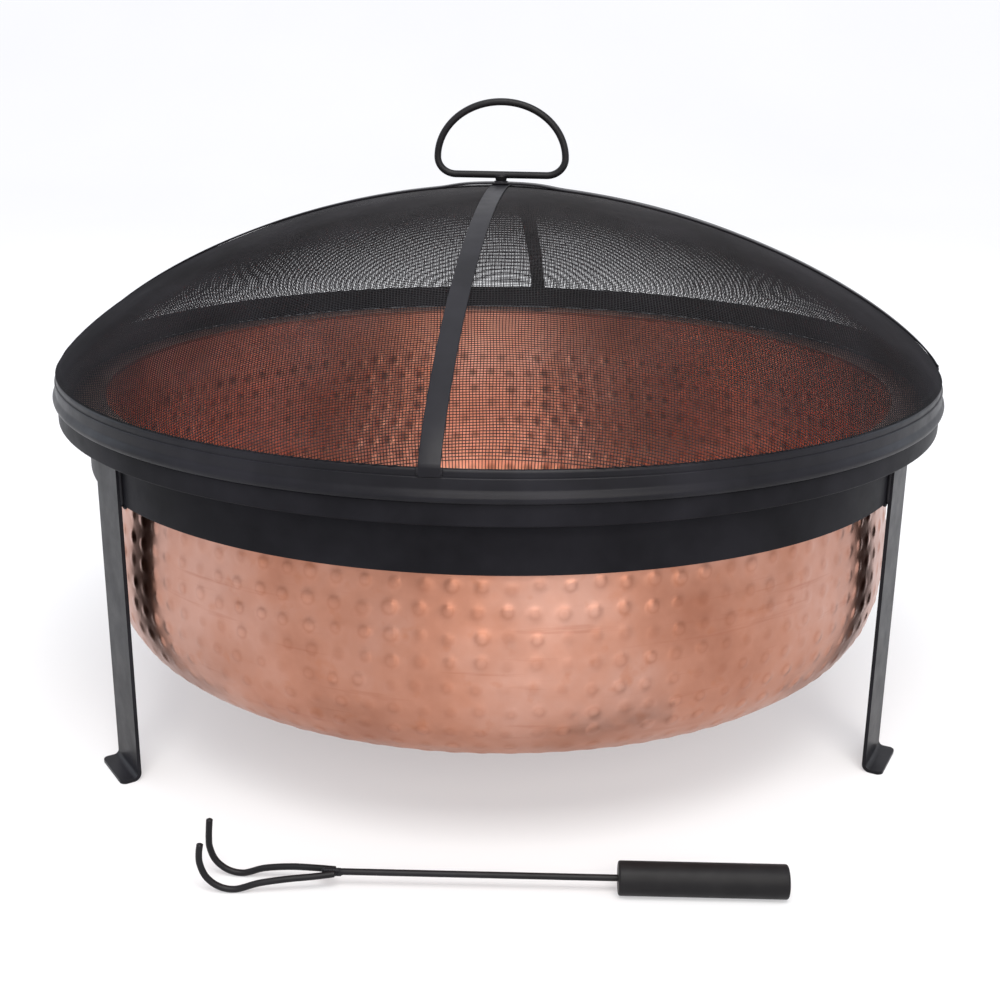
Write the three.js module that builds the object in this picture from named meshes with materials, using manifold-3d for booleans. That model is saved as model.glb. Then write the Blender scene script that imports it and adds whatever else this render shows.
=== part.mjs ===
// Round fire pit: a hammered copper bowl with a steel rim, a three-legged hoop stand, a log grate,
// a domed mesh screen with a D handle, and a forked lifting tool that lies on the ground in front.
// Millimetres, +Z up. The origin is on the ground under the bowl's axis, and -Y is the front.

import * as THREE from 'three';
import { mergeVertices } from 'three/addons/utils/BufferGeometryUtils.js';
import Module from 'manifold-3d';

const wasm = await Module();
wasm.setup();

// Driving dimensions
const SEGMENTS = 72;          // facets round every large ring
const GAP = 0.3;              // clearance between touching pieces

const RIM_RADIUS = 381;       // 30 inch fire pit
const RIM_BOTTOM = 277;
const RIM_TOP = 293;
const RIM_THICKNESS = 3;
const RIM_INNER_RADIUS = 354.5;

const HOOP_RADIUS = 358;
const HOOP_THICKNESS = 3;
const HOOP_BOTTOM = 235;

const LEG_WIDTH = 50;
const LEG_THICKNESS = 3;
const LEG_FOOT_LENGTH = 14;
const LEG_BEND_RADIUS = 4;
const LEG_CORNER_RADIUS = 5;
const LEG_COUNT = 3;
const STAND_TURN = -27.2;     // degrees from +X to the front right leg

const BOWL_THICKNESS = 1.2;
const BOWL_WALL_RADIUS = 343.5;
const BOWL_LIP_RADIUS = 368;
const BOWL_BOTTOM = 67.4;
const BOWL_FLAT_RADIUS = 250;
const BOWL_SWELL = 7;         // how far the wall's control point stands out
const BOWL_DROP = 100;        // and how far it lies below the hoop
const BOWL_CORNER = 112;      // reach of the floor's control point

const GRATE_RADIUS = 190;
const GRATE_WIRE = 4;         // radius of the round bar
const GRATE_HEIGHT = 112;     // centre of the grate's ring above the ground
const GRATE_BARS = 7;
const GRATE_PITCH = 50;
const GRATE_LEGS = 4;

const SCREEN_RADIUS = 382;
const SCREEN_LIP_RADIUS = 384.5;
const SCREEN_BOTTOM = RIM_TOP + GAP;
const SCREEN_BAND_TOP = 310;
const SCREEN_TOP = 315;
const SCREEN_TURN = -6.5;     // degrees, how far the straps are turned

const MESH_RADIUS = 380.4;
const MESH_RISE = 145;
const MESH_THICKNESS = 1;
const DOME_POWER = 1.836;     // the dome's side view: flatter on top the larger it is
const DOME_FULLNESS = 0.779;  // and steeper at its edge the smaller it is

const STRAP_WIDTH = 15;
const STRAP_THICKNESS = 1.6;
const STRAP_CLEAR = 0.6;      // how far a strap stands off the mesh
const STRAP_KNEE = 3;         // height above the hem where a strap turns down
const STRAP_STEPS = 44;
const CROSSING_REACH = 45;    // how far from the apex the upper strap starts to rise

const STUD_RADIUS = 2.5;
const STUD_HOLE_RADIUS = 2.9;
const STUD_TAIL = 9;          // length of the stud below the washer's seat
const STUD_FOOT_RADIUS = 4.2;
const STUD_HEAD_RADIUS = 6.2;
const WASHER_RADIUS = 8;
const WASHER_THICKNESS = 1.2;
const NUT_RADIUS = 4.6;       // across its corners
const NUT_HEIGHT = 4;
const SEAT_DROP = 0.6;        // how far the mesh falls away under the washer's edge

const HANDLE_WIRE = 3;        // radius of the handle's round bar
const HANDLE_HALF_WIDTH = 55.3;
const HANDLE_BAR_HEIGHT = 470.4;
const HANDLE_CENTRE_HEIGHT = 484.6;
const HANDLE_ARCH = 46.4;
const HANDLE_CORNER = 16;

const TOOL_ROD_RADIUS = 2.4;
const TOOL_GRIP_RADIUS = 12.2;
const TOOL_GRIP_LENGTH = 120;
const TOOL_GRIP_START = 89;
const TOOL_FORK = -111;
const TOOL_FRONT = -367.5;    // where the tool axis crosses the YZ plane
const TOOL_TURN = -1.2;       // degrees

const blackSteel = { color: 0x232326, roughness: 0.5, metalness: 0.6 };
const copper = { color: 0xc98a68, roughness: 0.25, metalness: 1 };
const castSteel = { color: 0x1b1b1c, roughness: 0.7, metalness: 0.5 };
const zincSteel = { color: 0x8f9092, roughness: 0.4, metalness: 0.9 };
const blackGrip = { color: 0x2a2a2b, roughness: 0.65, metalness: 0 };

const rad = THREE.MathUtils.degToRad;
const model = new THREE.Group();

// Helpers
function add(name, geometry, finish, parent = model) {
  const mesh = new THREE.Mesh(geometry, new THREE.MeshStandardMaterial(finish));
  mesh.name = name;
  parent.add(mesh);
  return mesh;
}

function turned(degrees, parent = model) {
  const group = new THREE.Group();
  group.rotation.z = rad(degrees);
  parent.add(group);
  return group;
}

function toSolid(geometry) {
  const bare = geometry.clone();
  bare.deleteAttribute('normal');
  bare.deleteAttribute('uv');
  const merged = mergeVertices(bare, 1e-4);
  const corners = merged.index.array;
  const kept = [];
  for (let i = 0; i < corners.length; i += 3) {
    const [a, b, c] = corners.slice(i, i + 3);
    if (a !== b && b !== c && c !== a) kept.push(a, b, c);
  }
  return new wasm.Manifold(new wasm.Mesh({
    numProp: 3,
    vertProperties: merged.attributes.position.array,
    triVerts: Uint32Array.from(kept),
  }));
}

function toGeometry(solid) {
  const mesh = solid.getMesh();
  const geometry = new THREE.BufferGeometry();
  geometry.setAttribute('position', new THREE.BufferAttribute(mesh.vertProperties, 3));
  geometry.setIndex(new THREE.BufferAttribute(mesh.triVerts, 1));
  geometry.computeVertexNormals();
  return geometry;
}

// A solid of revolution about Z from [radius, height] points listed anticlockwise
function lathe(profile, segments = SEGMENTS, closes = true) {
  const points = profile.map(([r, z]) => new THREE.Vector2(r, z));
  if (closes) points.push(points[0].clone());
  const geometry = new THREE.LatheGeometry(points, segments);
  geometry.rotateX(Math.PI / 2);
  return geometry;
}

// A round bar of the given radius along a curve
function bar(curve, radius, steps, sides = 10) {
  const section = new THREE.Shape();
  section.absarc(0, 0, radius, 0, 2 * Math.PI);
  return new THREE.ExtrudeGeometry(section, { extrudePath: curve, steps, curveSegments: sides / 2 });
}

function straightBar(from, to, radius, sides = 12) {
  const line = new THREE.LineCurve3(new THREE.Vector3(...from), new THREE.Vector3(...to));
  return bar(line, radius, 1, sides);
}

function post(radius, bottom, top, sides = 24) {
  const geometry = new THREE.CylinderGeometry(radius, radius, top - bottom, sides);
  geometry.rotateX(Math.PI / 2);
  geometry.translate(0, 0, (bottom + top) / 2);
  return geometry;
}

// Extrudes a shape drawn in X and Z to a width centred on Y
function plate(shape, width, curveSegments = 8) {
  const geometry = new THREE.ExtrudeGeometry(shape, { depth: width, bevelEnabled: false, curveSegments });
  geometry.rotateX(Math.PI / 2);
  geometry.translate(0, width / 2, 0);
  return geometry;
}

// Stand: a flat steel hoop with three bent flat-bar legs welded to its outside
const hoopTop = RIM_TOP - RIM_THICKNESS - GAP;

function makeHoop() {
  const inner = HOOP_RADIUS - HOOP_THICKNESS;
  return lathe([[inner, HOOP_BOTTOM], [HOOP_RADIUS, HOOP_BOTTOM], [HOOP_RADIUS, hoopTop], [inner, hoopTop]]);
}

function makeLeg() {
  const inner = HOOP_RADIUS + GAP;
  const outer = inner + LEG_THICKNESS;
  const footEnd = outer + LEG_FOOT_LENGTH;
  const bendX = outer + LEG_BEND_RADIUS;
  const bendZ = LEG_THICKNESS + LEG_BEND_RADIUS;
  const outline = new THREE.Shape();
  outline.moveTo(inner, hoopTop);
  outline.lineTo(inner, bendZ);
  outline.absarc(bendX, bendZ, bendZ, Math.PI, 1.5 * Math.PI, false);
  outline.lineTo(footEnd, 0);
  outline.lineTo(footEnd, LEG_THICKNESS);
  outline.lineTo(bendX, LEG_THICKNESS);
  outline.absarc(bendX, bendZ, LEG_BEND_RADIUS, 1.5 * Math.PI, Math.PI, true);
  outline.lineTo(outer, hoopTop);

  const half = LEG_WIDTH / 2;
  const c = LEG_CORNER_RADIUS;
  const plan = new THREE.Shape();
  plan.moveTo(inner - 1, -half);
  plan.lineTo(footEnd - c, -half);
  plan.absarc(footEnd - c, c - half, c, -Math.PI / 2, 0, false);
  plan.lineTo(footEnd, half - c);
  plan.absarc(footEnd - c, half - c, c, 0, Math.PI / 2, false);
  plan.lineTo(inner - 1, half);
  const footprint = new THREE.ExtrudeGeometry(plan, { depth: hoopTop + 2, bevelEnabled: false, curveSegments: 6 });
  footprint.translate(0, 0, -1);
  return toGeometry(toSolid(plate(outline, LEG_WIDTH)).intersect(toSolid(footprint)));
}

add('stand_hoop', makeHoop(), blackSteel);
const legNames = ['leg_front_right', 'leg_rear', 'leg_front_left'];
for (let i = 0; i < LEG_COUNT; i++) {
  add(legNames[i], makeLeg(), blackSteel, turned(STAND_TURN + (360 / LEG_COUNT) * i));
}

// Bowl: a spun copper shell whose flange lies on a rolled steel rim
function bowlWall(steps) {
  const wall = new THREE.CubicBezierCurve(
    new THREE.Vector2(BOWL_WALL_RADIUS, HOOP_BOTTOM),
    new THREE.Vector2(BOWL_WALL_RADIUS + BOWL_SWELL, HOOP_BOTTOM - BOWL_DROP),
    new THREE.Vector2(BOWL_FLAT_RADIUS + BOWL_CORNER, BOWL_BOTTOM),
    new THREE.Vector2(BOWL_FLAT_RADIUS, BOWL_BOTTOM),
  );
  const points = [];
  for (let i = 0; i <= steps; i++) {
    const point = wall.getPoint(i / steps);
    const along = wall.getTangent(i / steps);
    points.push({ point, inward: new THREE.Vector2(along.y, -along.x) });
  }
  return points;
}

function makeBowl() {
  const t = BOWL_THICKNESS;
  const wall = bowlWall(10);
  const flange = RIM_TOP + GAP;
  const outside = wall.map(({ point }) => [point.x, point.y]);
  const inside = wall.map(({ point, inward }) => [point.x + inward.x * t, point.y + inward.y * t]);
  inside[0][0] = BOWL_WALL_RADIUS - t;
  inside[0][1] = HOOP_BOTTOM;
  const profile = [
    [0, BOWL_BOTTOM],
    ...outside.reverse(),
    [BOWL_WALL_RADIUS, flange],
    [BOWL_LIP_RADIUS, flange],
    [BOWL_LIP_RADIUS, flange + t],
    [BOWL_WALL_RADIUS - t, flange + t],
    ...inside,
    [0, BOWL_BOTTOM + t],
  ];
  return lathe(profile, SEGMENTS, false);
}

function makeRim() {
  const inside = RIM_RADIUS - RIM_THICKNESS;
  const under = RIM_TOP - RIM_THICKNESS;
  return lathe([
    [RIM_INNER_RADIUS, under],
    [inside, under],
    [inside, RIM_BOTTOM],
    [RIM_RADIUS, RIM_BOTTOM],
    [RIM_RADIUS, RIM_TOP - 2],
    [RIM_RADIUS - 0.6, RIM_TOP - 0.6],
    [RIM_RADIUS - 2, RIM_TOP],
    [RIM_INNER_RADIUS, RIM_TOP],
  ]);
}

add('copper_bowl', makeBowl(), copper);
add('bowl_rim', makeRim(), blackSteel);

// Log grate: a ring on four legs, with parallel bars welded across its top
function makeGrate() {
  const ring = new THREE.TorusGeometry(GRATE_RADIUS, GRATE_WIRE, 8, 48);
  ring.translate(0, 0, GRATE_HEIGHT);
  add('grate_ring', ring, castSteel);

  const barHeight = GRATE_HEIGHT + 2 * GRATE_WIRE + GAP;
  for (let i = 0; i < GRATE_BARS; i++) {
    const x = (i - (GRATE_BARS - 1) / 2) * GRATE_PITCH;
    const reach = Math.sqrt(GRATE_RADIUS ** 2 - x ** 2) + GRATE_WIRE;
    const geometry = straightBar([x, -reach, barHeight], [x, reach, barHeight], GRATE_WIRE);
    add(`grate_bar_${i + 1}`, geometry, castSteel);
  }

  const floor = BOWL_BOTTOM + BOWL_THICKNESS + GAP;
  const legTop = GRATE_HEIGHT - GRATE_WIRE - GAP;
  for (let i = 0; i < GRATE_LEGS; i++) {
    const leg = add(`grate_leg_${i + 1}`, post(GRATE_WIRE, floor, legTop, 12), castSteel,
      turned(45 + (360 / GRATE_LEGS) * i));
    leg.position.x = GRATE_RADIUS;
  }
}
makeGrate();

// Spark screen
function meshHeight(r) {
  const across = Math.min(Math.abs(r) / MESH_RADIUS, 1);
  return SCREEN_TOP + GAP + MESH_RISE * (1 - across ** DOME_POWER) ** DOME_FULLNESS;
}

function makeScreenBand() {
  const inner = SCREEN_RADIUS - 2.5;
  return lathe([
    [inner, SCREEN_BOTTOM],
    [SCREEN_LIP_RADIUS - 1.5, SCREEN_BOTTOM],
    [SCREEN_LIP_RADIUS - 0.4, SCREEN_BOTTOM + 1.2],
    [SCREEN_LIP_RADIUS, SCREEN_BOTTOM + 3.4],
    [SCREEN_LIP_RADIUS - 1, SCREEN_BOTTOM + 6],
    [SCREEN_RADIUS, SCREEN_BOTTOM + 8.5],
    [SCREEN_RADIUS, SCREEN_BAND_TOP],
    [inner, SCREEN_BAND_TOP],
  ]);
}

function makeHem() {
  const outer = MESH_RADIUS + 0.5;
  const inner = outer - 4;
  const bottom = SCREEN_BAND_TOP + GAP;
  return lathe([
    [inner, bottom],
    [outer, bottom],
    [outer, SCREEN_TOP - 1],
    [outer - 1, SCREEN_TOP],
    [inner + 1, SCREEN_TOP],
    [inner, SCREEN_TOP - 1],
  ]);
}

// The dome's stations crowd towards its edge, where it turns down
function makeMeshDome() {
  const steps = 11;
  const outside = [];
  const inside = [];
  for (let i = 0; i <= steps; i++) {
    const r = MESH_RADIUS * Math.sin((i / steps) * (Math.PI / 2));
    outside.push([r, meshHeight(r)]);
    const s = r * (1 - MESH_THICKNESS / MESH_RADIUS);
    inside.push([s, i < steps ? meshHeight(r) - MESH_THICKNESS : meshHeight(r)]);
  }
  return lathe([...inside, ...outside.reverse()], SEGMENTS, false);
}

// A strap's centre line lies outside the mesh and ends on the hem; lift raises it over the other strap
function strapPoint(t, lift) {
  const angle = (t - 0.5) * Math.PI;
  const r = MESH_RADIUS * Math.sin(angle);
  const slope = 0.01;
  const ahead = MESH_RADIUS * Math.sin(angle + slope);
  const behind = MESH_RADIUS * Math.sin(angle - slope);
  const normal = new THREE.Vector2(meshHeight(behind) - meshHeight(ahead), ahead - behind).normalize();
  const bump = lift * Math.exp(-((r / CROSSING_REACH) ** 6));
  return { point: new THREE.Vector2(r, meshHeight(r)), normal, bump };
}

function makeStrap(lift) {
  const under = [];
  const over = [];
  for (let i = 2; i <= STRAP_STEPS - 2; i++) {
    const { point, normal, bump } = strapPoint(i / STRAP_STEPS, lift);
    under.push(point.clone().addScaledVector(normal, STRAP_CLEAR + bump));
    over.push(point.clone().addScaledVector(normal, STRAP_CLEAR + bump + STRAP_THICKNESS));
  }
  const foot = SCREEN_BAND_TOP + GAP;
  const inner = MESH_RADIUS + 0.5 + GAP;
  const outer = inner + STRAP_THICKNESS;
  const knee = SCREEN_TOP + STRAP_KNEE;
  const outline = [
    new THREE.Vector2(-inner, foot), new THREE.Vector2(-inner, knee), ...under,
    new THREE.Vector2(inner, knee), new THREE.Vector2(inner, foot),
    new THREE.Vector2(outer, foot), new THREE.Vector2(outer, knee), ...over.reverse(),
    new THREE.Vector2(-outer, knee), new THREE.Vector2(-outer, foot),
  ];
  return plate(new THREE.Shape(outline), STRAP_WIDTH);
}

function drilled(geometry, bottom, top) {
  return toGeometry(toSolid(geometry).subtract(toSolid(post(STUD_HOLE_RADIUS, bottom, top))));
}

function handleCurve() {
  const points = [];
  points.push(new THREE.Vector3(GAP, 0, HANDLE_BAR_HEIGHT));
  points.push(new THREE.Vector3(HANDLE_HALF_WIDTH / 2, 0, HANDLE_BAR_HEIGHT));
  const drop = HANDLE_CENTRE_HEIGHT - HANDLE_BAR_HEIGHT;
  for (let i = 0; i < 4; i++) {
    const a = (i / 4) * (Math.PI / 2);
    const x = HANDLE_HALF_WIDTH - HANDLE_CORNER + HANDLE_CORNER * Math.sin(a);
    points.push(new THREE.Vector3(x, 0, HANDLE_CENTRE_HEIGHT - drop * Math.cos(a)));
  }
  for (let i = 0; i <= 8; i++) {
    const a = (i / 8) * (Math.PI / 2);
    const x = HANDLE_HALF_WIDTH * Math.cos(a);
    points.push(new THREE.Vector3(x, 0, HANDLE_CENTRE_HEIGHT + HANDLE_ARCH * Math.sin(a)));
  }
  const mirrored = points.slice(0, -1).reverse().map((p) => new THREE.Vector3(-p.x, 0, p.z));
  return new THREE.CatmullRomCurve3([...points, ...mirrored], false, 'centripetal');
}

function makeScreen() {
  add('screen_band', makeScreenBand(), blackSteel);
  add('mesh_hem', makeHem(), blackSteel);
  const dome = drilled(makeMeshDome(), SCREEN_TOP + MESH_RISE - 10, SCREEN_TOP + MESH_RISE + 10);
  add('mesh_dome', dome, blackSteel);

  const apex = meshHeight(0);
  const lift = STRAP_THICKNESS + GAP;
  const straps = turned(SCREEN_TURN);
  add('strap_front_back', drilled(makeStrap(0), apex - 5, apex + 10), blackSteel, straps).rotation.z = Math.PI / 2;
  add('strap_side_side', drilled(makeStrap(lift), apex - 5, apex + 10), blackSteel, straps);

  const seat = apex + STRAP_CLEAR + lift + STRAP_THICKNESS + GAP;
  const under = apex - MESH_THICKNESS - SEAT_DROP - GAP;
  const stud = lathe([
    [0, under - STUD_TAIL],
    [STUD_RADIUS, under - STUD_TAIL],
    [STUD_RADIUS, seat],
    [STUD_FOOT_RADIUS, seat],
    [STUD_HEAD_RADIUS, HANDLE_BAR_HEIGHT - 1],
    [STUD_HEAD_RADIUS, HANDLE_BAR_HEIGHT],
    [0, HANDLE_BAR_HEIGHT],
  ], 24, false);
  const barHollow = straightBar([-20, 0, HANDLE_BAR_HEIGHT], [20, 0, HANDLE_BAR_HEIGHT], HANDLE_WIRE + GAP, 16);
  add('handle_stud', toGeometry(toSolid(stud).subtract(toSolid(barHollow))), blackSteel, straps);
  add('handle_loop', bar(handleCurve(), HANDLE_WIRE, 56, 10), blackSteel, straps);

  const washerFoot = under - WASHER_THICKNESS;
  const washer = toSolid(post(WASHER_RADIUS, washerFoot, under));
  const washerHole = toSolid(post(STUD_HOLE_RADIUS, washerFoot - 1, under + 1));
  add('stud_washer', toGeometry(washer.subtract(washerHole)), zincSteel, straps);
  const nutTop = washerFoot - GAP;
  const nutFoot = nutTop - NUT_HEIGHT;
  const nut = toSolid(post(NUT_RADIUS, nutFoot, nutTop, 6));
  const nutHole = toSolid(post(STUD_RADIUS + GAP / 2, nutFoot - 1, nutTop + 1));
  add('stud_nut', toGeometry(nut.subtract(nutHole)), zincSteel, straps);
}
makeScreen();

// Lifting tool: a round rod in a cylindrical grip, with two bent prongs at its other end
function prongCurve(side, reach, tip) {
  const rest = TOOL_ROD_RADIUS + 0.1;
  const shape = [
    [TOOL_FORK - GAP, 12, 2.7],
    [-126, 11.2, 5.5],
    [-145, 10.2, 8],
    [-165, 7.4, 9.6],
    [-181, rest, 10.5],
    [-192, 5.2, 10.8],
    [-200, 12.6, 11],
    [-203.8, 23, 11.2],
    [-204, 31, 11.3],
    [-202.8, tip, 11.4],
  ];
  const points = shape.map(([x, z, y], i) => new THREE.Vector3(i > 3 ? x - reach : x, side * y, z));
  return new THREE.CatmullRomCurve3(points, false, 'centripetal');
}

function makeTool() {
  const tool = turned(TOOL_TURN);
  tool.position.y = TOOL_FRONT;
  const height = TOOL_GRIP_RADIUS;
  const bore = 50;
  const grip = lathe([
    [0, bore],
    [TOOL_ROD_RADIUS + GAP, bore],
    [TOOL_ROD_RADIUS + GAP, 0],
    [TOOL_GRIP_RADIUS - 1, 0],
    [TOOL_GRIP_RADIUS, 1],
    [TOOL_GRIP_RADIUS, TOOL_GRIP_LENGTH - 1],
    [TOOL_GRIP_RADIUS - 1, TOOL_GRIP_LENGTH],
    [0, TOOL_GRIP_LENGTH],
  ], 32, false);
  grip.rotateY(Math.PI / 2);
  grip.translate(TOOL_GRIP_START, 0, height);
  add('tool_grip', grip, blackGrip, tool);
  const rodEnd = TOOL_GRIP_START + bore - 1;
  add('tool_rod', straightBar([TOOL_FORK, 0, height], [rodEnd, 0, height], TOOL_ROD_RADIUS), blackSteel, tool);
  add('tool_prong_far', bar(prongCurve(1, 0, 46), TOOL_ROD_RADIUS, 36), blackSteel, tool);
  add('tool_prong_near', bar(prongCurve(-1, 2, 39), TOOL_ROD_RADIUS, 36), blackSteel, tool);
}
makeTool();

export default model;
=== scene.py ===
"""
A round copper fire pit on a black steel stand, with its grate, mesh screen and lifting fork.
Lengths are in millimetres until a piece is made. The studio round it is in metres.
"""

import math

import bpy
import numpy as np
from mathutils import Matrix, Vector


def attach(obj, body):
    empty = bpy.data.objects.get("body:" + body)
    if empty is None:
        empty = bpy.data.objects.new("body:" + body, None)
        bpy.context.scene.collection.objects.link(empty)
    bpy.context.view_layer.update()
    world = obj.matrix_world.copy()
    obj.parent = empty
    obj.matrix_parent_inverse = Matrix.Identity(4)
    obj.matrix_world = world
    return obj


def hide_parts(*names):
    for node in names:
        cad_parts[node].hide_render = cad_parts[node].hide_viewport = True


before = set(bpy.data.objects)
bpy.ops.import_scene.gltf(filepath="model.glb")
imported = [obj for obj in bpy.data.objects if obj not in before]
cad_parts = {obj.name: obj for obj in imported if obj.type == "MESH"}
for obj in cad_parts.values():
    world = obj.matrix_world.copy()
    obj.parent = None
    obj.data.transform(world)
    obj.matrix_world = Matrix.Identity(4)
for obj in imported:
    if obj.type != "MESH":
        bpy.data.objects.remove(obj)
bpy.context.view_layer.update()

# ---------------------------------------------------------------- driving sizes, mm

MM = 0.001
SIDES = 288                  # divisions round the large rings

RIM_RADIUS = 381.0
RIM_LOW = 277.0
RIM_TOP = 293.0
RIM_INNER = 354.5
RIM_SIDES = 360
PLATE = 3.0                  # black steel plate

HOOP_INNER = 355.0
HOOP_LOW = 235.0
HOOP_TOP = 289.7

LEG_INNER = 358.3            # radial distance of the leg's inner face
LEG_WIDTH = 50.0
LEG_TURN = -27.2             # degrees, the front right leg
LEG_CORNER = 5.0             # rounding of the foot's end, seen from above
FOOT_END = 375.3
FOOT_BEND = 7.0              # radius of the bend on the inner face

BOWL_RADIUS = 343.5
BOWL_FLOOR = 67.4
BOWL_FLAT = 250.0
BOWL_SHEET = 1.2
FLANGE_TOP = 294.5
FLANGE_RADIUS = 368.0
FLANGE_SIDES = 432
DENT_PITCH = 20.5            # hammer marks, pressed from the inside, and the step between rows
DENT_ROW = 19.0
DENT_RADIUS = 5.0
DENT_HEIGHT = 1.1
DENT_START = 41.0            # plain wall above the first row of marks
DENT_FROM = 120.0            # the marks start about this far from the middle of the floor
DENT_EDGE = 3.2              # how abruptly a mark ends
FADE_AT_RIM = 10.0           # the marks and waves are weaker over these lengths
FADE_FROM = 30.0
FADE_AT_FLOOR = 60.0
BELLY_SHARE = 0.4            # share of a mark's height at the bowl's bottom, growing over this rise
BELLY_RISE = 80.0
SHEET_SWELL = 0.16           # slow and quick waves of the sheet between the marks
SHEET_RIPPLE = 0.07

BAND_INNER = 379.5
BAND_OUTER = 382.0
BAND_FOOT = 293.03
BAND_TOP = 310.0
HEM_INNER = 376.9
HEM_OUTER = 380.9
HEM_LOW = 305.0
HEM_TOP = 315.6

SCREEN_LOW = 315.3           # foot of the mesh
SCREEN_RISE = 145.0
SCREEN_RADIUS = 380.4
DOME_CROWN = 1.836           # flatness of the dome's top
DOME_SHOULDER = 0.779        # steepness of its edge
WIRE_PITCH = 2.3
WIRE_RADIUS = 0.365
MESH_SLACK = 0.9             # how far the weave wanders from straight
MESH_DEPTH = 0.12            # middle of the cloth, in from the dome's outer face

STRAP_WIDTH = 15.0
STRAP_PLATE = 1.6
STRAP_LOW = 310.3
STRAP_CLEAR = 0.6            # from the mesh's outer face to the strap
STRAP_TURN = -6.5            # degrees
CROSSING_RISE = 1.9
CROSSING_REACH = 45.0

HANDLE_HALF = 55.3
HANDLE_BAR = 470.4
HANDLE_SPRING = 484.6
HANDLE_ARCH = 46.4
HANDLE_WIRE = 3.0
HANDLE_CORNER = 16.0
STUD_LOW = 449.4
STUD_SEAT = 464.7
STUD_THREAD = 0.4            # height of one ridge, and half the thread's pitch
WASHER_LOW = 457.2
WASHER_TOP = 458.4
NUT_LOW = 452.9
NUT_TOP = 456.9
NUT_HALF = 4.0               # from the middle to a flat
NUT_CORNER = 4.5             # from the middle to a corner, which is rounded off

GRATE_RADIUS = 190.0
GRATE_WIRE = 4.0
GRATE_LEVEL = 112.0
GRATE_BAR_LEVEL = 120.3
GRATE_BARS = 7
GRATE_PITCH = 50.0
GRATE_LEGS = 4

TOOL_FRONT = -367.5          # where the tool's axis passes the middle of the pit
TOOL_TURN = -1.2             # degrees
TOOL_AXIS = 12.2             # height of the grip's axis
TOOL_WIRE = 2.4
GRIP_START = 89.0            # along the tool, from the middle of the pit
GRIP_END = 209.2
GRIP_RADIUS = 12.2
ROD_START = -111.0
ROD_END = 138.0
NEAR_PRONG_BACK = 2.0        # the near prong reaches this much further

BEAD_RIPPLE = 1.6            # weld beads: length of one ripple, and of one step along the bead
BEAD_STEP = 0.4


# ---------------------------------------------------------------- camera and studio floor, m and degrees

CAMERA_PLACE = (0.00225, -1.2286, 0.5626)
CAMERA_DOWN = 17.473
CAMERA_ROLL = 0.66

SWEEP_START = 4.0            # where the floor starts to curve up, behind the pit
SWEEP_RADIUS = 3.0
SWEEP_TOP = 12.0
SHADE_PLACE = (0.1, -1.7, 0.0)   # middle of a patch where the floor glows less, painted shade mirrored in the bowl's front
COOL = (0.70, 0.85, 1.0)
WARM = (1.0, 0.95, 0.88)
WHITE = (1.0, 0.98, 0.95)


# ---------------------------------------------------------------- mesh building

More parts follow.
